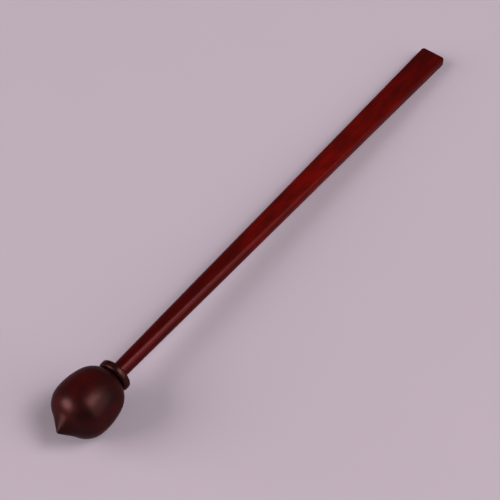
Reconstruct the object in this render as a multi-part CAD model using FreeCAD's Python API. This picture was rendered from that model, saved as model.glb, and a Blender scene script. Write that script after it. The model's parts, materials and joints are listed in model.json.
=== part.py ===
import FreeCAD, Part
import math
import os

# Wooden percussion mallet: a pointed hardwood head, a turned collar and a long handle with a flat butt.
# Lengths are in millimetres and angles in degrees. Every piece is drawn along the mallet's own axis,
# from the centre of the head's widest ring at zero towards the butt of the handle at +X. It is then laid
# down as it rests on a table, on the belly of the head and the lower edge of the butt. The table is at
# z = 0, and the origin lies under the middle of the mallet.

# Head
head_diameter = 31.0
nose_length = 19.5  # widest ring to the tip
back_length = 18.4  # widest ring to the flat that the collar sits on
nose_radius = 1.5
hollow_radius = 12.0  # hollow between the straight cone behind the tip and the full flank
hollow_angle = 10.7  # how much steeper the flank leaves the hollow
flank_radius = 11.7
belly_radius = 34.4
belly_front_angle = 6.4
belly_back_angle = 17.5
seat_diameter = 13.0
longest_turn = 10.0  # a round stretch of the outline that turns further is drawn in equal parts

# Collar
collar_diameter = 17.5
collar_thickness = 4.2
collar_front_radius = 1.9  # rounds the edge that faces the head
collar_back_chamfer = 0.8

# Handle, from its shoulder on the collar to the butt
handle_length = 282.0
neck_diameter = 8.1
oval_width = 10.0
oval_thickness = 8.1
blade_width = 13.0
blade_thickness = 5.9
butt_width = 15.4
butt_rounding = 1.2

# Places of the oval and of the blade's start, as shares of the handle's length
oval_place_share = 0.22
blade_place_share = 0.725
flow_stretches = 3  # between the oval and the blade

# Corner radii of the handle's sections, as shares of half their smaller side
neck_corner_share = 0.96
oval_corner_share = 0.95
blade_corner_share = 0.50  # as far as the butt

# Glued joint
tenon_diameter = 6.0
tenon_reach = 19.0  # how far the tenon enters the head
tenon_chamfer = 0.6
glue_clearance = 0.08  # round the tenon, in the collar and in the head
bore_end_gap = 0.8
drill_point_angle = 59.0  # between the axis and the cone at the end of the bore

# Places along the axis
tip_place = -nose_length
seat_place = back_length
collar_back_place = seat_place + collar_thickness
butt_place = collar_back_place + handle_length
tenon_end_place = seat_place - tenon_reach

AXIS = FreeCAD.Vector(1, 0, 0)
SIDEWAYS = FreeCAD.Vector(0, 1, 0)


def axis_point(along, out):
    """Point of a turned outline: its place along the axis, and its distance from it."""
    return FreeCAD.Vector(along, 0, out)


def direction(angle):
    """Unit direction in the plane of a turned outline, at an angle to the axis."""
    return axis_point(math.cos(math.radians(angle)), math.sin(math.radians(angle)))


def line(start, end):
    """Straight edge."""
    return Part.makeLine(start, end)


def angle_of(vector):
    """Angle to the axis of a vector in the plane of a turned outline."""
    return math.degrees(math.atan2(vector.z, vector.x))


def arc(centre, radius, first_angle, last_angle):
    """Round edge of a turned outline, between two angles about its centre."""
    start = centre + direction(first_angle) * radius
    middle = centre + direction((first_angle + last_angle) / 2) * radius
    end = centre + direction(last_angle) * radius
    return Part.Arc(start, middle, end).toShape()


def arcs(centre, radius, first_angle, last_angle):
    """Round stretch of a turned outline, in equal edges that each turn no further than the longest turn."""
    count = math.ceil(abs(last_angle - first_angle) / longest_turn)
    turn = (last_angle - first_angle) / count
    return [arc(centre, radius, first_angle + turn * i, first_angle + turn * (i + 1)) for i in range(count)]


def first_point(edge):
    return edge.valueAt(edge.FirstParameter)


def last_point(edge):
    return edge.valueAt(edge.LastParameter)


def turned(outline):
    """Solid turned about the axis from a closed outline."""
    face = Part.Face(Part.Wire(outline))
    return face.revolve(axis_point(0, 0), AXIS, 360)


def turned_from_axis(edges):
    """Solid turned from edges that run from the axis out and back to it."""
    return turned(edges + [line(last_point(edges[-1]), first_point(edges[0]))])


def drill(start_place, end_place):
    """Space that a drill leaves for the tenon, with a cone where the drill's point ended."""
    radius = tenon_diameter / 2 + glue_clearance
    point_place = end_place - radius / math.tan(math.radians(drill_point_angle))
    wall_start = axis_point(start_place, radius)
    wall_end = axis_point(end_place, radius)
    return turned_from_axis([
        line(axis_point(start_place, 0), wall_start),
        line(wall_start, wall_end),
        line(wall_end, axis_point(point_place, 0)),
    ])


def front_outline(flank_centre):
    """Outline from the tip to the full flank, and the flank's angle where it starts.

    A round nose, a straight cone and a hollow run smoothly into one another.
    """
    nose_centre = axis_point(tip_place + nose_radius, 0)
    gap = flank_centre - nose_centre
    hollow_reach = flank_radius + hollow_radius
    turn = math.radians(hollow_angle)
    depth = hollow_reach * math.cos(turn) - hollow_radius - nose_radius
    cone_angle = angle_of(gap) + math.degrees(math.asin(depth / gap.Length))
    outward = direction(cone_angle + 90)
    hollow_centre = flank_centre + direction(cone_angle + hollow_angle + 90) * hollow_reach

    nose = arc(nose_centre, nose_radius, 180, cone_angle + 90)
    hollow = arc(hollow_centre, hollow_radius, cone_angle + 270, cone_angle + hollow_angle + 270)
    cone = line(nose_centre + outward * nose_radius, hollow_centre - outward * hollow_radius)
    return [nose, cone, hollow], cone_angle + hollow_angle


def shoulder_outline(belly_back, seat_edge):
    """Outline from the back of the belly, which it leaves smoothly, to the edge of the seat."""
    outward = direction(90 - belly_back_angle)
    chord = belly_back - seat_edge
    radius = chord.Length ** 2 / (2 * outward.dot(chord))
    centre = belly_back - outward * radius
    return arcs(centre, radius, 90 - belly_back_angle, angle_of(seat_edge - centre))


def make_head():
    """Striking head: a turned pointed ovoid, with a blind bore for the tenon."""
    belly_centre = axis_point(0, head_diameter / 2 - belly_radius)
    belly_back = belly_centre + direction(90 - belly_back_angle) * belly_radius
    flank_centre = belly_centre + direction(90 + belly_front_angle) * (belly_radius - flank_radius)
    seat_edge = axis_point(seat_place, seat_diameter / 2)

    front, flank_angle = front_outline(flank_centre)
    flank = arcs(flank_centre, flank_radius, flank_angle + 90, belly_front_angle + 90)
    belly = arcs(belly_centre, belly_radius, belly_front_angle + 90, 90 - belly_back_angle)
    shoulder = shoulder_outline(belly_back, seat_edge)
    seat = line(seat_edge, axis_point(seat_place, 0))
    block = turned_from_axis(front + flank + belly + shoulder + [seat])
    return block.cut(drill(collar_back_place, tenon_end_place - bore_end_gap))


def make_collar():
    """Turned ring with a rounded front rim and a through bore, seated flat on the head."""
    rim_centre = axis_point(seat_place + collar_front_radius, collar_diameter / 2 - collar_front_radius)
    rim = arc(rim_centre, collar_front_radius, 180, 90)
    side_end = axis_point(collar_back_place - collar_back_chamfer, collar_diameter / 2)
    back_edge = axis_point(collar_back_place, collar_diameter / 2 - collar_back_chamfer)
    disc = turned_from_axis([
        line(axis_point(seat_place, 0), first_point(rim)),
        rim,
        line(last_point(rim), side_end),
        line(side_end, back_edge),
        line(back_edge, axis_point(collar_back_place, 0)),
    ])
    return disc.cut(drill(butt_place, tenon_end_place))


def corner(place, across, up, radius, first_angle):
    """Quarter round across the axis, turning from +Y towards +Z."""
    points = []
    for angle in (first_angle, first_angle + 45, first_angle + 90):
        turn = math.radians(angle)
        points.append(FreeCAD.Vector(place, across + radius * math.cos(turn), up + radius * math.sin(turn)))
    return Part.Arc(*points).toShape()


def section(place, width, thickness, corner_radius):
    """Rounded rectangle across the axis."""
    across = width / 2 - corner_radius
    up = thickness / 2 - corner_radius
    corners = [
        corner(place, across, up, corner_radius, 0),
        corner(place, -across, up, corner_radius, 90),
        corner(place, -across, -up, corner_radius, 180),
        corner(place, across, -up, corner_radius, 270),
    ]
    edges = []
    for here, following in zip(corners, corners[1:] + corners[:1]):
        edges.append(here)
        edges.append(line(last_point(here), first_point(following)))
    return Part.Wire(edges)


def between(start, end, share):
    """Sizes of a section part of the way from one section to another."""
    return [first + (last - first) * share for first, last in zip(start, end)]


def with_flat_faces(solid):
    """The same solid, with its flats remade as planes from their corners."""
    faces = []
    for face in solid.Faces:
        if face.Surface.TypeId == "Part::GeomBSplineSurface" and face.Surface.isPlanar():
            corners = [vertex.Point for vertex in face.OuterWire.OrderedVertexes]
            face = Part.Face(Part.makePolygon(corners + corners[:1]))
        faces.append(face)
    return Part.Solid(Part.Shell(faces))


def make_tenon():
    """Round tenon, from the middle of the neck back to its chamfered end in the head."""
    radius = tenon_diameter / 2
    chamfer_edge = axis_point(tenon_end_place, radius - tenon_chamfer)
    wall_start = axis_point(tenon_end_place + tenon_chamfer, radius)
    wall_end = axis_point(collar_back_place + neck_diameter, radius)
    return turned_from_axis([
        line(axis_point(tenon_end_place, 0), chamfer_edge),
        line(chamfer_edge, wall_start),
        line(wall_start, wall_end),
        line(wall_end, axis_point(collar_back_place + neck_diameter, 0)),
    ])


def make_handle():
    """Handle: a round neck that flows through an oval into a flat blade, with a tenon at the neck."""
    oval_place = collar_back_place + oval_place_share * handle_length
    blade_place = collar_back_place + blade_place_share * handle_length
    neck = [collar_back_place, neck_diameter, neck_diameter, neck_corner_share * neck_diameter / 2]
    oval = [oval_place, oval_width, oval_thickness, oval_corner_share * oval_thickness / 2]
    blade = [blade_place, blade_width, blade_thickness, blade_corner_share * blade_thickness / 2]
    butt = [butt_place, butt_width, blade_thickness, blade_corner_share * blade_thickness / 2]
    flow = [between(oval, blade, i / flow_stretches) for i in range(flow_stretches)]

    shaft = Part.makeLoft([section(*sizes) for sizes in [neck] + flow + [blade, butt]], True, True)
    butt_face = max(shaft.Faces, key=lambda face: face.CenterOfMass.x)
    shaft = with_flat_faces(shaft.makeFillet(butt_rounding, butt_face.Edges))
    return shaft.fuse(make_tenon())


def resting_tilt():
    """Angle by which the axis falls towards the butt when belly and butt both touch the table."""
    run = butt_place - butt_rounding
    rise = belly_radius - head_diameter / 2 + blade_thickness / 2 - butt_rounding
    drop = belly_radius - butt_rounding
    return math.asin(drop / math.hypot(run, rise)) - math.atan2(rise, run)


def at_rest(shape):
    """The shape moved from the mallet's own axis to its place on the table."""
    tilt = resting_tilt()
    lift = belly_radius - (belly_radius - head_diameter / 2) * math.cos(tilt)
    front_end = (tip_place + nose_radius) * math.cos(tilt) - nose_radius
    butt_corner_up = (blade_thickness / 2 - butt_rounding) * math.sin(tilt)
    back_end = (butt_place - butt_rounding) * math.cos(tilt) + butt_corner_up + butt_rounding
    middle = (front_end + back_end) / 2
    turn = FreeCAD.Rotation(SIDEWAYS, math.degrees(tilt))
    place = FreeCAD.Placement(FreeCAD.Vector(-middle, 0, lift), turn)
    return shape.transformed(place.toMatrix())


def main():
    os.makedirs("parts", exist_ok=True)
    pieces = {"head": make_head(), "collar": make_collar(), "handle": make_handle()}
    for name, shape in pieces.items():
        solid = at_rest(shape.Solids[0])
        solid.exportStep("parts/" + name + ".step")
        state = "valid" if solid.isValid() else "broken"
        print(name, state, round(solid.Volume / 1000, 2), "cubic centimetres")


main()
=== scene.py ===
import json
import logging
import math
from dataclasses import dataclass
from enum import Enum
from typing import Any

import bmesh
import bpy
from mathutils import Matrix, Vector


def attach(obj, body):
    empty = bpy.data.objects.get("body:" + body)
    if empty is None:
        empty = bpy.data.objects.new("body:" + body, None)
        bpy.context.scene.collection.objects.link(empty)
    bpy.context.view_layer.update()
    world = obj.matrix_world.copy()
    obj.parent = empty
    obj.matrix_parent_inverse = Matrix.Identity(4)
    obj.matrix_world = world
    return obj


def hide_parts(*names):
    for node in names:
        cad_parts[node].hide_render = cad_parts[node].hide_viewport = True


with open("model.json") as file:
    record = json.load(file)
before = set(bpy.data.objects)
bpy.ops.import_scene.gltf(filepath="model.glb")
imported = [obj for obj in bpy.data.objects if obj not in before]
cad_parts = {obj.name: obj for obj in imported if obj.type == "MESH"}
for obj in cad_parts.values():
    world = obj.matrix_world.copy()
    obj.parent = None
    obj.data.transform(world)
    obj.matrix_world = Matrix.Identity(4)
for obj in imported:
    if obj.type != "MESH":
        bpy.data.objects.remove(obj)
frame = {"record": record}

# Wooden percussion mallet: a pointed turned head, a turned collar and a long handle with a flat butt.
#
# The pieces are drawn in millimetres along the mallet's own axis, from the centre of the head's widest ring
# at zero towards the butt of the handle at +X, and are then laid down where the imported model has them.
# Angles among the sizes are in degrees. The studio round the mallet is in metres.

Colour = tuple[float, float, float, float]
Triple = tuple[float, float, float]
Run = tuple[tuple[float, float], ...]  # places along the axis and the values there, in order

MILLIMETRE = 0.001
MERGE_DISTANCE = 0.0005
ALONG = Vector((1, 0, 0))
SIDEWAYS = Vector((0, 1, 0))

# Sockets of Blender's mix nodes go by number, because several of them share a name.
FACTOR = 0
FLOAT_A, FLOAT_B, FLOAT_RESULT = 2, 3, 0
COLOUR_A, COLOUR_B, COLOUR_RESULT = 6, 7, 2
SHADER_A, SHADER_B = 1, 2

NOISE_RANGE = (0.3, 0.7)  # nearly all of a noise lies between these
WAVE_SPACING = 0.31  # distance between the rings of Blender's wave texture at a scale of one

log = logging.getLogger("mallet")


def linear(hex_colour: str) -> Colour:
    """Turns an sRGB colour into the linear one that the shaders take.

    Args:
        hex_colour: Six hex digits, such as "5a0a06".

    Returns:
        Red, green, blue and an alpha of one, in linear light.
    """
    channels = [int(hex_colour[i:i + 2], 16) / 255 for i in (0, 2, 4)]
    red, green, blue = (c / 12.92 if c <= 0.04045 else ((c + 0.055) / 1.055) ** 2.4 for c in channels)
    return red, green, blue, 1.0


def add_node(
    tree: bpy.types.NodeTree, kind: str, inputs: dict[str | int, Any],
    stops: tuple[tuple[float, Colour], ...] = (), **settings: Any,
) -> bpy.types.Node:
    """Adds a node with its settings, values and links.

    Args:
        tree: Node tree that gets the node.
        kind: Blender's name for the kind of node.
        inputs: Value, or output to link, for each input by name or number.
        stops: Places from 0 to 1 and their linear colours, in order, where the node is a colour ramp.
        **settings: Properties of the node.

    Returns:
        The new node.
    """
    node = tree.nodes.new(kind)
    for name, value in settings.items():
        setattr(node, name, value)
    if stops:
        elements = node.color_ramp.elements
        while len(elements) < len(stops):
            elements.new(1.0)
        for element, (place, colour) in zip(elements, stops):
            element.position = place
            element.color = colour
    for name, value in inputs.items():
        if isinstance(value, bpy.types.NodeSocket):
            tree.links.new(value, node.inputs[name])
        else:
            node.inputs[name].default_value = value
    return node


def on_axis(along: float, out: float = 0.0) -> Vector:
    """Point of a turned outline: its place along the axis and its distance from it."""
    return Vector((along, 0, out))


def direction(angle: float) -> Vector:
    """Unit direction in the plane of an outline, at an angle to the axis."""
    return on_axis(math.cos(math.radians(angle)), math.sin(math.radians(angle)))


def angle_of(vector: Vector) -> float:
    """Angle between the axis and a vector in the plane of an outline."""
    return math.degrees(math.atan2(vector.z, vector.x))


class Rest:
    """How the mallet lies on its table, read from the square-cut end of its handle."""

    def __init__(self, record: dict[str, Any], axis_length: float) -> None:
        """Works out where the mallet's own axis runs.

        Args:
            record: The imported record, which holds the place and direction of the end face.
            axis_length: Distance from the head's widest ring to the end face.
        """
        end_face = next(mount for mount in record["mounts"] if mount["name"] == "butt_face")
        along = Vector(end_face["axis"]).normalized()
        self.tilt = math.atan2(-along.z, along.x)
        self.origin = Vector(end_face["pos_m"]) - along * axis_length * MILLIMETRE

    def matrix(self) -> Matrix:
        """Matrix that takes the mallet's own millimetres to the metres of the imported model."""
        turn = Matrix.Rotation(self.tilt, 4, "Y")
        return Matrix.Translation(self.origin) @ turn @ Matrix.Scale(MILLIMETRE, 4)


class Outline:
    """Half outline of a turned piece, drawn stroke by stroke and then turned about the axis."""

    def __init__(self, start: Vector) -> None:
        """Puts down the first point."""
        self.mesh = bmesh.new()
        self.pen = self.mesh.verts.new(start)

    def line(self, end: Vector, steps: int = 1) -> None:
        """Draws a straight stroke.

        Args:
            end: Where the stroke ends.
            steps: Number of edges.
        """
        start = self.pen.co.copy()
        for step in range(steps):
            drawn = bmesh.ops.extrude_vert_indiv(self.mesh, verts=[self.pen])
            self.pen = drawn["verts"][0]
            self.pen.co = start.lerp(end, (step + 1) / steps)

    def arc(self, centre: Vector, angle: float, steps: int) -> None:
        """Draws a round stroke.

        Args:
            centre: Centre of the arc.
            angle: Turn, positive from the axis outwards.
            steps: Number of edges.
        """
        drawn = bmesh.ops.spin(
            self.mesh, geom=[self.pen], cent=centre, axis=SIDEWAYS, angle=math.radians(angle), steps=steps,
        )
        self.pen = next(item for item in drawn["geom_last"] if isinstance(item, bmesh.types.BMVert))

    def turned(self, steps: int) -> bmesh.types.BMesh:
        """Turns the outline about the axis into a closed skin.

        Args:
            steps: Number of facets round the axis.

        Returns:
            The mesh, which the caller frees.
        """
        bmesh.ops.spin(
            self.mesh, geom=self.mesh.verts[:] + self.mesh.edges[:], cent=(0, 0, 0), axis=ALONG,
            angle=math.tau, steps=steps, use_merge=True,
        )
        bmesh.ops.remove_doubles(self.mesh, verts=self.mesh.verts[:], dist=MERGE_DISTANCE)
        bmesh.ops.recalc_face_normals(self.mesh, faces=self.mesh.faces[:])
        return self.mesh


def finished_piece(name: str, mesh: bmesh.types.BMesh, rest: Rest, sharp_angle: float) -> bpy.types.Object:
    """Makes an object of a finished mesh, with its place in the mesh.

    Args:
        name: Name of the piece.
        mesh: The mesh in the mallet's own millimetres. It is freed.
        rest: How the mallet lies.
        sharp_angle: Edges that turn further than this stay crisp.

    Returns:
        The object, linked to the scene.
    """
    mesh.transform(rest.matrix())
    data = bpy.data.meshes.new(name)
    mesh.to_mesh(data)
    mesh.free()
    data.polygons.foreach_set("use_smooth", [True] * len(data.polygons))
    data.set_sharp_from_angle(angle=math.radians(sharp_angle))
    piece = bpy.data.objects.new(name, data)
    bpy.context.scene.collection.objects.link(piece)
    return piece


class Cut(Enum):
    """How a piece lies in the log, as the share of its growth rings in its colour."""

    TURNED = 0.05
    PLANED = 0.04


@dataclass(frozen=True)
class WaxedRosewood:
    """Rosewood, turned or planed, sanded fine and waxed.

    The wood is a dense deep red-brown. To the eye it is nearly even: soft clouds of redder and browner
    wood as large as a fingertip, faint lines along the grain, and pores too fine to count.

    The wax has soaked in and doesn't lie on the wood as a film, so the rims hardly mirror the room, and
    skin_level is low. The polished fibres give broad soft highlights, as strong seen from above as at the
    rims, and tinted by the red of the wood. That is shine, the share of a plain glossy surface. Where a
    piece isn't polished evenly from end to end, its shine is a run along the axis. Its lightness can be a run
    along the axis too, which darkens and lightens its colour as painted shade and light.
    """

    name: str
    shadow: str
    body: str
    glow: str
    cut: Cut
    tone_places: Triple = (0.32, 0.5, 0.66)  # where the figure is shadow, body and glow
    # painted shade and light: a run that darkens and lightens the colour along the axis
    lightness_and_painted_shade: Run = ()
    figure_start: Triple = (0.0, 0.0, 0.0)  # picks the piece of the log, and so where its clouds fall
    finer_strength: float = 0.55  # how strong each finer noise is against the last
    cloud_length: float = 15.0
    cloud_width: float = 5.0
    cloud_detail: float = 2.0
    line_length: float = 30.0
    line_width: float = 0.55
    line_detail: float = 3.0
    line_share: float = 0.2  # the rest of the figure is clouds
    ring_spacing: float = 2.2
    ring_stretch: float = 0.15  # how fast the rings change along the log, against across it
    ring_waviness: float = 3.0
    ring_detail: float = 2.0
    ring_detail_scale: float = 0.5
    ring_finer_strength: float = 0.6
    pith_place: Triple = (0.0, 13.0, -21.0)
    pith_lean: Triple = (0.0, 0.03, 0.05)
    pore_length: float = 2.6
    pore_width: float = 0.3  # a real pore is 0.1 mm wide, too fine to show from here
    pore_detail: float = 1.0
    pore_range: tuple[float, float] = (0.54, 0.74)  # noise where a pore starts and where it is full
    pore_darkness: float = 0.8
    pore_depth: float = 0.02
    pore_relief: float = 0.6
    roughness: float = 0.3
    roughness_spread: tuple[float, float] = (-0.04, 0.08)
    shine: float | Run = 0.018
    shine_tint: str = "ffada9"
    skin_level: float = 0.02
    index_of_refraction: float = 1.5

    def stretched(
        self, tree: bpy.types.NodeTree, millimetres: bpy.types.NodeSocket, length: float, width: float,
        detail: float,
    ) -> bpy.types.NodeSocket:
        """Adds a noise that is drawn out along the grain.

        Args:
            tree: Node tree of the material.
            millimetres: Place on the mallet in its own millimetres.
            length: Length of one patch.
            width: Width of one patch.
            detail: Number of finer noises that it carries.

        Returns:
            The noise, from 0 to 1.
        """
        drawn_out = add_node(tree, "ShaderNodeMapping", {
            "Vector": millimetres, "Location": self.figure_start, "Scale": (1 / length, 1 / width, 1 / width),
        })
        noise = add_node(tree, "ShaderNodeTexNoise", {
            "Vector": drawn_out.outputs["Vector"],
            "Scale": 1.0,
            "Detail": detail,
            "Roughness": self.finer_strength,
        })
        return noise.outputs["Fac"]

    def rings(self, tree: bpy.types.NodeTree, millimetres: bpy.types.NodeSocket) -> bpy.types.NodeSocket:
        """Adds the growth rings round the pith, which lies beside the piece and slightly out of line.

        Args:
            tree: Node tree of the material.
            millimetres: Place on the mallet in its own millimetres.

        Returns:
            The rings, from 0 to 1.
        """
        pith = add_node(tree, "ShaderNodeMapping", {
            "Vector": millimetres,
            "Location": self.pith_place,
            "Rotation": self.pith_lean,
            "Scale": (self.ring_stretch, 1.0, 1.0),
        })
        wave = add_node(tree, "ShaderNodeTexWave", {
            "Vector": pith.outputs["Vector"],
            "Scale": WAVE_SPACING / self.ring_spacing,
            "Distortion": self.ring_waviness,
            "Detail": self.ring_detail,
            "Detail Scale": self.ring_detail_scale,
            "Detail Roughness": self.ring_finer_strength,
        }, wave_type="RINGS", rings_direction="X")
        return wave.outputs["Fac"]

    @staticmethod
    def run_along(
        tree: bpy.types.NodeTree, millimetres: bpy.types.NodeSocket, run: Run,
    ) -> bpy.types.NodeSocket:
        """Adds a value that changes slowly from one end of the piece to the other.

        Args:
            tree: Node tree of the material.
            millimetres: Place on the mallet in its own millimetres.
            run: Places along the axis and the values there, in order.

        Returns:
            The value, as a grey.
        """
        start, end = run[0][0], run[-1][0]
        split = add_node(tree, "ShaderNodeSeparateXYZ", {"Vector": millimetres})
        share = add_node(tree, "ShaderNodeMapRange", {
            "Value": split.outputs["X"], "From Min": start, "From Max": end, "To Min": 0.0, "To Max": 1.0,
        })
        stops = tuple(((place - start) / (end - start), (value, value, value, 1.0)) for place, value in run)
        return add_node(tree, "ShaderNodeValToRGB", {"Fac": share.outputs["Result"]}, stops).outputs["Color"]

    def tone(self, tree: bpy.types.NodeTree, millimetres: bpy.types.NodeSocket) -> bpy.types.NodeSocket:
        """Adds the colour of the wood between its pores.

        Args:
            tree: Node tree of the material.
            millimetres: Place on the mallet in its own millimetres.

        Returns:
            The colour.
        """
        clouds = self.stretched(tree, millimetres, self.cloud_length, self.cloud_width, self.cloud_detail)
        lines = self.stretched(tree, millimetres, self.line_length, self.line_width, self.line_detail)
        clouds_and_lines = add_node(tree, "ShaderNodeMix", {
            FACTOR: self.line_share, FLOAT_A: clouds, FLOAT_B: lines,
        }, data_type="FLOAT")
        figure = add_node(tree, "ShaderNodeMix", {
            FACTOR: self.cut.value,
            FLOAT_A: clouds_and_lines.outputs[FLOAT_RESULT],
            FLOAT_B: self.rings(tree, millimetres),
        }, data_type="FLOAT")
        colours = (linear(self.shadow), linear(self.body), linear(self.glow))
        even = add_node(
            tree, "ShaderNodeValToRGB", {"Fac": figure.outputs[FLOAT_RESULT]},
            tuple(zip(self.tone_places, colours)),
        )
        if not self.lightness_and_painted_shade:
            return even.outputs["Color"]
        # painted shade and light along the axis, laid over the wood's colour
        tone_with_painted_shade = add_node(tree, "ShaderNodeMix", {
            FACTOR: 1.0,
            COLOUR_A: even.outputs["Color"],
            COLOUR_B: self.run_along(tree, millimetres, self.lightness_and_painted_shade),
        }, data_type="RGBA", blend_type="MULTIPLY")
        return tone_with_painted_shade.outputs[COLOUR_RESULT]

    def material(self, rest: Rest) -> bpy.types.Material:
        """Makes the material, with its grain along the mallet's axis.

        Args:
            rest: How the mallet lies.

        Returns:
            The material.
        """
        material = bpy.data.materials.new(self.name)
        material.use_nodes = True
        tree = material.node_tree
        tree.nodes.clear()

        place = add_node(tree, "ShaderNodeTexCoord", {})
        own_place = add_node(tree, "ShaderNodeMapping", {
            "Vector": place.outputs["Object"],
            "Location": rest.origin,
            "Rotation": (0, rest.tilt, 0),
            "Scale": (MILLIMETRE, MILLIMETRE, MILLIMETRE),
        }, vector_type="TEXTURE")
        millimetres = own_place.outputs["Vector"]

        pores = self.stretched(tree, millimetres, self.pore_length, self.pore_width, self.pore_detail)
        pore_mask = add_node(tree, "ShaderNodeMapRange", {
            "Value": pores,
            "From Min": self.pore_range[0],
            "From Max": self.pore_range[1],
            "To Min": 0.0,
            "To Max": self.pore_darkness,
        })
        colour = add_node(tree, "ShaderNodeMix", {
            FACTOR: pore_mask.outputs["Result"],
            COLOUR_A: self.tone(tree, millimetres),
            COLOUR_B: linear(self.shadow),
        }, data_type="RGBA")
        roughness = add_node(tree, "ShaderNodeMapRange", {
            "Value": pores,
            "From Min": NOISE_RANGE[0],
            "From Max": NOISE_RANGE[1],
            "To Min": self.roughness + self.roughness_spread[0],
            "To Max": self.roughness + self.roughness_spread[1],
        })
        relief = add_node(tree, "ShaderNodeBump", {
            "Height": pore_mask.outputs["Result"],
            "Strength": self.pore_relief,
            "Distance": -self.pore_depth * MILLIMETRE,
        })

        wood = add_node(tree, "ShaderNodeBsdfPrincipled", {
            "Base Color": colour.outputs[COLOUR_RESULT],
            "Roughness": roughness.outputs["Result"],
            "IOR": self.index_of_refraction,
            "Specular IOR Level": self.skin_level,
            "Normal": relief.outputs["Normal"],
        })
        polish = add_node(tree, "ShaderNodeBsdfAnisotropic", {
            "Color": linear(self.shine_tint),
            "Roughness": roughness.outputs["Result"],
            "Normal": relief.outputs["Normal"],
        })
        is_even = isinstance(self.shine, float)
        surface = add_node(tree, "ShaderNodeMixShader", {
            FACTOR: self.shine if is_even else self.run_along(tree, millimetres, self.shine),
            SHADER_A: wood.outputs["BSDF"],
            SHADER_B: polish.outputs["BSDF"],
        })
        add_node(tree, "ShaderNodeOutputMaterial", {"Surface": surface.outputs["Shader"]})
        return material


@dataclass(frozen=True)
class StudioPaper:
    """Matt lilac paper under the mallet. To the eye it is even, with only a trace of mottle."""

    name: str = "studio_paper"
    shade: str = "beaeba"
    deep: str = "baaab6"
    mottle_size: float = 200.0
    mottle_detail: float = 3.0
    roughness: float = 0.95
    skin_level: float = 0.1

    def material(self) -> bpy.types.Material:
        """Makes the material.

        Returns:
            The material.
        """
        material = bpy.data.materials.new(self.name)
        material.use_nodes = True
        tree = material.node_tree
        tree.nodes.clear()
        place = add_node(tree, "ShaderNodeTexCoord", {})
        mottle = add_node(tree, "ShaderNodeTexNoise", {
            "Vector": place.outputs["Object"],
            "Scale": 1 / (self.mottle_size * MILLIMETRE),
            "Detail": self.mottle_detail,
        })
        colour = add_node(tree, "ShaderNodeMix", {
            FACTOR: mottle.outputs["Fac"], COLOUR_A: linear(self.shade), COLOUR_B: linear(self.deep),
        }, data_type="RGBA")
        surface = add_node(tree, "ShaderNodeBsdfPrincipled", {
            "Base Color": colour.outputs[COLOUR_RESULT],
            "Roughness": self.roughness,
            "Specular IOR Level": self.skin_level,
        })
        add_node(tree, "ShaderNodeOutputMaterial", {"Surface": surface.outputs["BSDF"]})
        return material


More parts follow.
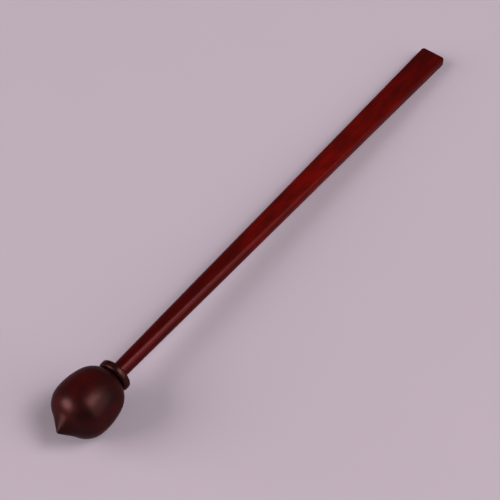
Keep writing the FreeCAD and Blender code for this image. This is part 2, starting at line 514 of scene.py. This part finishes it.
@dataclass
class Head:
    """Striking head: a turned pointed ovoid with a blind bore for the tenon."""

    diameter: float = 31.0
    nose_length: float = 19.5
    back_length: float = 18.4
    nose_radius: float = 1.5
    hollow_radius: float = 12.0
    hollow_angle: float = 10.7
    flank_radius: float = 11.7
    belly_radius: float = 34.4
    belly_front_angle: float = 6.4
    belly_back_angle: float = 17.5
    seat_diameter: float = 13.0
    bore_radius: float = 3.08
    bore_end: float = -1.4
    bore_point_angle: float = 59.0
    nose_steps: int = 8
    cone_steps: int = 8
    hollow_steps: int = 6
    flank_steps: int = 22
    belly_steps: int = 18
    shoulder_steps: int = 18
    seat_steps: int = 3
    facets: int = 160
    sharp_angle: float = 32.0
    finish: WaxedRosewood = WaxedRosewood(
        "waxed_rosewood_head", shadow="190506", body="270707", glow="380605", cut=Cut.TURNED,
        # this start lays a redder cloud high on the head and a darker one low in its middle, where shade
        # falls, so the figure is partly painted shade
        figure_start=(12.9, 13.6, 23.7), cloud_length=14.0, cloud_width=8.5, cloud_detail=1.0,
        line_share=0.04, roughness=0.32, skin_level=0.014,
    )

    def outline(self) -> Outline:
        """Draws the outline from the tip over the belly to the point of the bore.

        Every stroke leaves the one before it without a corner, as far as the seat: a round nose, a straight
        cone, the hollow, the tight flank, the long belly and the shoulder.

        Returns:
            The outline, ready to be turned.
        """
        nose_centre = on_axis(self.nose_radius - self.nose_length)
        belly_centre = on_axis(0, self.diameter / 2 - self.belly_radius)
        flank_reach = self.belly_radius - self.flank_radius
        flank_centre = belly_centre + direction(90 + self.belly_front_angle) * flank_reach
        gap = flank_centre - nose_centre
        hollow_reach = self.flank_radius + self.hollow_radius
        depth = (
            hollow_reach * math.cos(math.radians(self.hollow_angle)) - self.hollow_radius - self.nose_radius
        )
        cone_angle = angle_of(gap) + math.degrees(math.asin(depth / gap.length))
        flank_angle = cone_angle + self.hollow_angle
        hollow_centre = flank_centre + direction(flank_angle + 90) * hollow_reach
        belly_back = belly_centre + direction(90 - self.belly_back_angle) * self.belly_radius
        seat_edge = on_axis(self.back_length, self.seat_diameter / 2)
        chord = belly_back - seat_edge
        back_outward = direction(90 - self.belly_back_angle)
        shoulder_centre = belly_back - back_outward * (chord.length_squared / (2 * back_outward.dot(chord)))
        shoulder_turn = 90 - self.belly_back_angle - angle_of(seat_edge - shoulder_centre)
        bore_point = self.bore_radius / math.tan(math.radians(self.bore_point_angle))

        outline = Outline(on_axis(-self.nose_length))
        outline.arc(nose_centre, 90 - cone_angle, self.nose_steps)
        outline.line(hollow_centre - direction(cone_angle + 90) * self.hollow_radius, self.cone_steps)
        outline.arc(hollow_centre, -self.hollow_angle, self.hollow_steps)
        outline.arc(flank_centre, flank_angle - self.belly_front_angle, self.flank_steps)
        outline.arc(belly_centre, self.belly_front_angle + self.belly_back_angle, self.belly_steps)
        outline.arc(shoulder_centre, shoulder_turn, self.shoulder_steps)
        outline.line(on_axis(self.back_length, self.bore_radius), self.seat_steps)
        outline.line(on_axis(self.bore_end, self.bore_radius))
        outline.line(on_axis(self.bore_end - bore_point))
        return outline

    def build(self, rest: Rest) -> bpy.types.Object:
        """Turns the head, dresses it and lets it stand for its solid.

        Args:
            rest: How the mallet lies.

        Returns:
            The finished piece.
        """
        piece = finished_piece("turned_head", self.outline().turned(self.facets), rest, self.sharp_angle)
        piece.data.materials.append(self.finish.material(rest))
        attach(piece, "root")
        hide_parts("head")
        return piece


@dataclass
class Collar:
    """Turned ring between the head and the shoulder of the handle."""

    place: float = 18.4
    diameter: float = 17.5
    thickness: float = 4.2
    front_rim_radius: float = 1.9
    back_rim_radius: float = 1.1
    bore_radius: float = 3.08
    face_steps: int = 3
    rim_steps: int = 14
    facets: int = 128
    sharp_angle: float = 40.0
    finish: WaxedRosewood = WaxedRosewood(
        "waxed_rosewood_collar", shadow="1a0304", body="240707", glow="2e120d", cut=Cut.TURNED,
        cloud_length=4.0, cloud_width=3.0, shine=0.024, shine_tint="ffb09e",
    )

    def outline(self) -> Outline:
        """Draws the outline from the bore over the rim and back to the bore.

        Returns:
            The outline, ready to be turned.
        """
        radius = self.diameter / 2
        back = self.place + self.thickness
        front_centre = on_axis(self.place + self.front_rim_radius, radius - self.front_rim_radius)
        back_centre = on_axis(back - self.back_rim_radius, radius - self.back_rim_radius)
        outline = Outline(on_axis(self.place, self.bore_radius))
        outline.line(on_axis(self.place, radius - self.front_rim_radius), self.face_steps)
        outline.arc(front_centre, 90, self.rim_steps)
        outline.line(on_axis(back - self.back_rim_radius, radius))
        outline.arc(back_centre, 90, self.rim_steps)
        outline.line(on_axis(back, self.bore_radius), self.face_steps)
        outline.line(on_axis(self.place, self.bore_radius))
        return outline

    def build(self, rest: Rest) -> bpy.types.Object:
        """Turns the collar, dresses it and lets it stand for its solid.

        Args:
            rest: How the mallet lies.

        Returns:
            The finished piece.
        """
        piece = finished_piece("turned_collar", self.outline().turned(self.facets), rest, self.sharp_angle)
        piece.data.materials.append(self.finish.material(rest))
        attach(piece, "root")
        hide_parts("collar")
        return piece


@dataclass
class Section:
    """Rounded rectangle across the handle."""

    place: float
    width: float
    thickness: float
    corner: float

    def towards(self, other: "Section", share: float) -> "Section":
        """Section part of the way to another.

        Args:
            other: The section at the far end.
            share: How far along, from 0 to 1.

        Returns:
            The section between them.
        """
        mine = (self.place, self.width, self.thickness, self.corner)
        theirs = (other.place, other.width, other.thickness, other.corner)
        return Section(*(a + (b - a) * share for a, b in zip(mine, theirs)))

    def drawn_in(self, place: float, across: float, up: float) -> "Section":
        """The same section at another place, with its sides and its flats drawn in."""
        return Section(place, self.width - 2 * across, self.thickness - 2 * up, self.corner - up)


@dataclass
class Handle:
    """Handle: a round neck that flows through an oval into a flat blade, with a tenon at the neck.

    A corner share is the part of half the thickness that the rounding of the corners takes. At one the
    sides would have no flat left, and points of a ring would fall together.

    The handle's colour is painted darker towards the neck and darkest on the rounded cut end, as painted
    shade, and lighter past the middle, partly the wood's own tone and partly painted light. It is most
    polished near the neck.
    """

    shoulder_place: float = 22.6
    length: float = 282.0
    neck_diameter: float = 8.1
    oval_width: float = 10.0
    oval_thickness: float = 8.1
    blade_width: float = 13.0
    blade_thickness: float = 5.9
    butt_width: float = 15.4
    butt_rounding: float = 1.2  # of the edges between the end and the flats
    butt_corner: float = 1.9  # of the two corners, seen from above
    oval_place_share: float = 0.22
    blade_place_share: float = 0.725
    tenon_corner_share: float = 0.98
    neck_corner_share: float = 0.96
    oval_corner_share: float = 0.95
    blade_corner_share: float = 0.50
    tenon_diameter: float = 6.0
    tenon_end: float = -0.6
    tenon_chamfer: float = 0.6
    ring_spacing: float = 4.0
    corner_steps: int = 10
    butt_steps: int = 9
    flat_stops: tuple[float, ...] = (0.06, 0.94)  # extra points near the ends of a flat keep its shading flat
    sharp_angle: float = 40.0
    finish: WaxedRosewood = WaxedRosewood(
        "waxed_rosewood_handle", shadow="3d0604", body="500603", glow="620603", cut=Cut.PLANED,
        # painted shade: darker towards the neck and on the rounded cut end; lighter past the middle, partly
        # painted light
        lightness_and_painted_shade=(
            (22.0, 0.36), (100.0, 0.62), (130.0, 0.9), (180.0, 1.2), (230.0, 1.11), (280.0, 0.68),
            (302.4, 0.72), (304.6, 0.3),
        ),
        shine=((22.0, 0.029), (66.0, 0.029), (190.0, 0.0165), (240.0, 0.014), (304.0, 0.019)),
        shine_tint="ff6e76", skin_level=0.035,
    )

    @property
    def butt_place(self) -> float:
        """Place of the square-cut end along the axis."""
        return self.shoulder_place + self.length

    @staticmethod
    def section(place: float, width: float, thickness: float, corner_share: float) -> Section:
        """Section whose corners take a share of half its thickness."""
        return Section(place, width, thickness, corner_share * thickness / 2)

    def tenon_sections(self) -> list[Section]:
        """Sections of the tenon, from its end in the head to the shoulder.

        Returns:
            The sections at both ends of the chamfer and at the shoulder.
        """
        tip = self.tenon_diameter - 2 * self.tenon_chamfer
        full = self.tenon_diameter
        return [
            self.section(self.tenon_end, tip, tip, self.tenon_corner_share),
            self.section(self.tenon_end + self.tenon_chamfer, full, full, self.tenon_corner_share),
            self.section(self.shoulder_place, full, full, self.tenon_corner_share),
        ]

    def shaft_sections(self) -> list[Section]:
        """Sections of the shaft from the shoulder to where the rounding of the butt starts.

        Returns:
            The sections, a ring's spacing apart.
        """
        oval_place = self.shoulder_place + self.oval_place_share * self.length
        blade_place = self.shoulder_place + self.blade_place_share * self.length
        stations = [
            self.section(self.shoulder_place, self.neck_diameter, self.neck_diameter, self.neck_corner_share),
            self.section(oval_place, self.oval_width, self.oval_thickness, self.oval_corner_share),
            self.section(blade_place, self.blade_width, self.blade_thickness, self.blade_corner_share),
            self.section(self.butt_place, self.butt_width, self.blade_thickness, self.blade_corner_share),
        ]
        sections = [stations[0]]
        for start, end in zip(stations, stations[1:]):
            count = math.ceil((end.place - start.place) / self.ring_spacing)
            sections += [start.towards(end, (step + 1) / count) for step in range(count)]
        return sections[:-1]

    def butt_sections(self) -> list[Section]:
        """Sections round the end of the butt, which has its edges eased and its corners rounded off.

        Returns:
            The sections, ever closer together towards the end.
        """
        start = self.section(self.butt_place, self.butt_width, self.blade_thickness, self.blade_corner_share)
        sections = []
        for step in range(self.butt_steps + 1):
            turn = math.radians(90 * step / self.butt_steps)
            before_end = self.butt_corner * (1 - math.sin(turn))
            across = self.butt_corner * (1 - math.cos(turn))
            eased = max(self.butt_rounding - before_end, 0.0)
            up = self.butt_rounding - math.sqrt(self.butt_rounding ** 2 - eased ** 2)
            sections.append(start.drawn_in(self.butt_place - before_end, across, up))
        return sections

    def ring_points(self, section: Section) -> list[Vector]:
        """Points round a section, as many for each section.

        Args:
            section: The section.

        Returns:
            The points, corner by corner from +Y towards +Z.
        """
        across = section.width / 2 - section.corner
        up = section.thickness / 2 - section.corner
        corners = []
        for quarter, (y, z) in enumerate([(across, up), (-across, up), (-across, -up), (across, -up)]):
            centre = Vector((section.place, y, z))
            corner = []
            for step in range(self.corner_steps + 1):
                turn = math.radians(90 * quarter + 90 * step / self.corner_steps)
                corner.append(centre + section.corner * Vector((0, math.cos(turn), math.sin(turn))))
            corners.append(corner)
        points = []
        for corner, next_corner in zip(corners, corners[1:] + corners[:1]):
            points += corner + [corner[-1].lerp(next_corner[0], stop) for stop in self.flat_stops]
        return points

    def skin(self) -> bmesh.types.BMesh:
        """Draws a ring through every section of the handle, from the tenon's end to the butt.

        Returns:
            The closed skin, which the caller frees.
        """
        rings = [
            self.ring_points(section)
            for section in self.tenon_sections() + self.shaft_sections() + self.butt_sections()
        ]
        mesh = bmesh.new()
        ring = bmesh.ops.create_circle(mesh, cap_ends=True, segments=len(rings[0]), radius=1.0)["verts"]
        for vertex, point in zip(ring, rings[0]):
            vertex.co = point
        edges = mesh.edges[:]
        for points in rings[1:]:
            drawn = bmesh.ops.extrude_edge_only(mesh, edges=edges)["geom"]
            ring = [item for item in drawn if isinstance(item, bmesh.types.BMVert)]
            edges = [item for item in drawn if isinstance(item, bmesh.types.BMEdge) and item.is_boundary]
            for vertex, point in zip(ring, points):
                vertex.co = point
        bmesh.ops.edgeloop_fill(mesh, edges=edges)
        bmesh.ops.recalc_face_normals(mesh, faces=mesh.faces[:])
        return mesh

    def build(self, rest: Rest) -> bpy.types.Object:
        """Shapes the handle, dresses it and lets it stand for its solid.

        Args:
            rest: How the mallet lies.

        Returns:
            The finished piece.
        """
        piece = finished_piece("shaped_handle", self.skin(), rest, self.sharp_angle)
        piece.data.materials.append(self.finish.material(rest))
        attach(piece, "root")
        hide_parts("handle")
        return piece


@dataclass(frozen=True)
class Lamp:
    """Soft square lamp, aimed at a point of the table.

    One that lights nothing shows in the polish alone, and one that isn't mirrored leaves no highlight.
    """

    name: str
    towards: Triple
    distance: float
    size: float
    power: float
    aim: Triple = (-0.08, 0.0, 0.0)
    shade: str = "ffffff"
    lights: bool = True
    mirrored: bool = True

    def build(self) -> None:
        """Hangs the lamp."""
        data = bpy.data.lights.new(self.name, "AREA")
        data.shape = "SQUARE"
        data.size = self.size
        data.energy = self.power
        data.color = linear(self.shade)[:3]
        lamp = bpy.data.objects.new(self.name, data)
        lamp.visible_diffuse = self.lights
        lamp.visible_glossy = self.mirrored
        away = Vector(self.towards).normalized()
        lamp.location = Vector(self.aim) + away * self.distance
        lamp.rotation_euler = away.to_track_quat("Z", "Y").to_euler()
        bpy.context.scene.collection.objects.link(lamp)


@dataclass
class Studio:
    """Paper, lamps, sky and camera round the mallet.

    The small highlights and the wide soft shadows in the photograph fit no single set of plain lamps. So the
    left lamp and the left card show only in the polish, and the left softbox casts the shadows but leaves no
    highlight.
    """

    paper: StudioPaper = StudioPaper()
    paper_half_width: float = 3.0
    sky: str = "ffffff"
    sky_strength: float = 0.15
    lamps: tuple[Lamp, ...] = (
        Lamp("left_lamp", towards=(-0.785, 0.54, 0.48), distance=3.0, size=1.5, power=69.0, lights=False),
        Lamp("left_card", towards=(-0.78, 0.49, 0.39), distance=3.0, size=2.2, power=25.0, lights=False),
        Lamp("left_softbox", towards=(-0.6, 0.67, 0.44), distance=3.0, size=2.4, power=88.0, mirrored=False),
        Lamp("right_lamp", towards=(0.26, -0.47, 0.84), distance=3.0, size=1.25, power=39.0),
        Lamp("right_softbox", towards=(0.27, -0.80, 0.53), distance=3.0, size=2.6, power=38.0),
    )
    camera_place: Triple = (-0.33575, -0.24619, 0.55230)
    camera_aim: Triple = (-0.01471, 0.00044, 0.00014)
    camera_lens: float = 93.6
    camera_sensor: float = 36.0
    camera_clip_start: float = 0.01

    def build_paper(self) -> None:
        """Lays the sheet of paper under the mallet."""
        mesh = bmesh.new()
        bmesh.ops.create_grid(mesh, x_segments=1, y_segments=1, size=self.paper_half_width)
        data = bpy.data.meshes.new("paper")
        mesh.to_mesh(data)
        mesh.free()
        data.materials.append(self.paper.material())
        paper = bpy.data.objects.new("paper", data)
        bpy.context.scene.collection.objects.link(paper)

    def build_sky(self) -> None:
        """Fills the room with even light."""
        world = bpy.data.worlds.new("room")
        world.use_nodes = True
        tree = world.node_tree
        tree.nodes.clear()
        glow = add_node(tree, "ShaderNodeBackground", {
            "Color": linear(self.sky), "Strength": self.sky_strength,
        })
        add_node(tree, "ShaderNodeOutputWorld", {"Surface": glow.outputs["Background"]})
        bpy.context.scene.world = world

    def build_camera(self) -> None:
        """Sets the camera at the photograph's angle."""
        data = bpy.data.cameras.new("camera")
        data.sensor_width = self.camera_sensor
        data.lens = self.camera_lens
        data.clip_start = self.camera_clip_start
        camera = bpy.data.objects.new("camera", data)
        camera.location = self.camera_place
        gaze = Vector(self.camera_aim) - Vector(self.camera_place)
        camera.rotation_euler = gaze.to_track_quat("-Z", "Y").to_euler()
        bpy.context.scene.collection.objects.link(camera)
        bpy.context.scene.camera = camera

    def build(self) -> None:
        """Sets up the whole studio."""
        self.build_paper()
        self.build_sky()
        for lamp in self.lamps:
            lamp.build()
        self.build_camera()
        bpy.context.scene.view_settings.view_transform = "Standard"


def main() -> None:
    """Builds the mallet and its studio."""
    logging.basicConfig(level=logging.INFO, format="%(name)s: %(message)s")
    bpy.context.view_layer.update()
    handle = Handle()
    rest = Rest(frame["record"], handle.butt_place)
    for part in (Head(), Collar(), handle):
        piece = part.build(rest)
        log.info("%s: %d faces", piece.name, len(piece.data.polygons))
    Studio().build()


if __name__ == "__main__":
    main()
